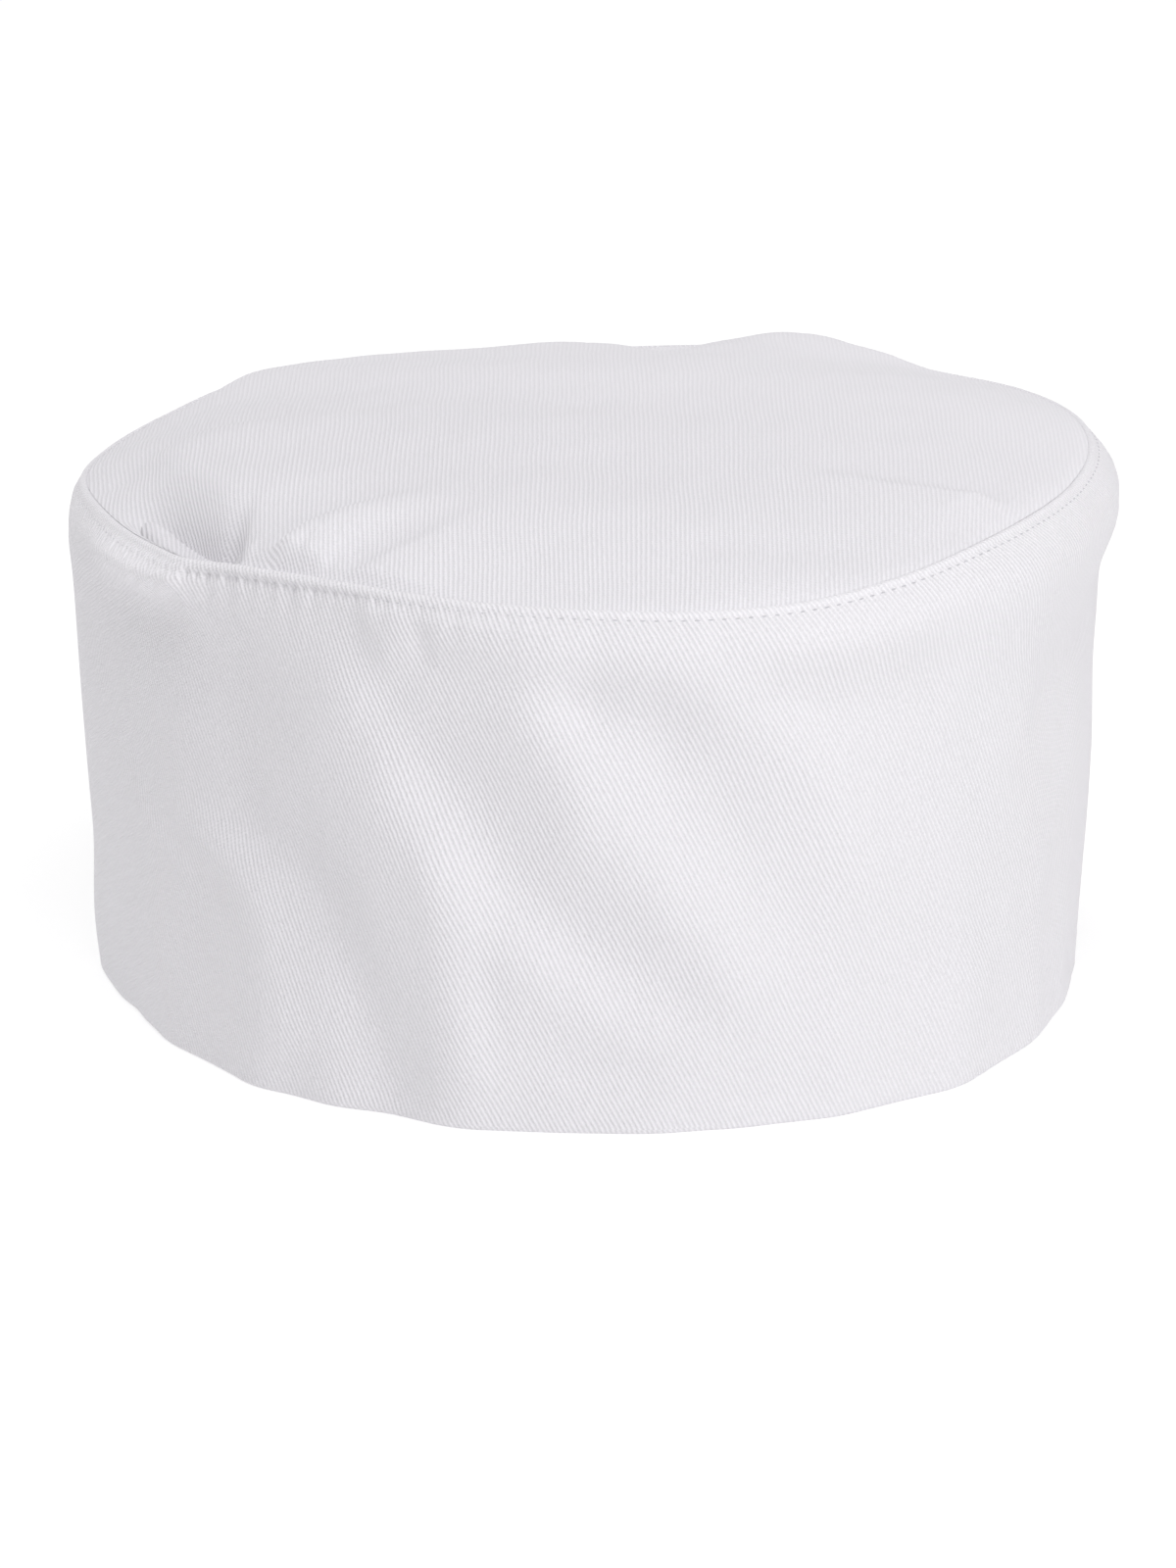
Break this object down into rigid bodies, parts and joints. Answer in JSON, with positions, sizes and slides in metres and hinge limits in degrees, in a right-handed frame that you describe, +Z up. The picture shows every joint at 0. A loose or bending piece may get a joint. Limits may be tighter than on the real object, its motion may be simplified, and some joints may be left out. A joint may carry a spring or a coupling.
{
  "type": "chef hat",
  "caption": "Low round chef's cap of white cotton drill: an upright doubled band with a slightly domed top panel, resting on its rim.",
  "frame": {"origin": "middle of the rim, on the surface that the cap rests on", "axes": "+Z up through the top panel, -Y towards the front of the cap, +X to its right as seen from the front"},
  "size_m": [0.1986, 0.1961, 0.1115],
  "materials": {
    "band_drill": "matte twill",
    "panel_drill": "matte twill"
  },
  "bodies": {
    "root": {"side_band": "band_drill", "top_panel": "panel_drill"}
  },
  "joints": []
}
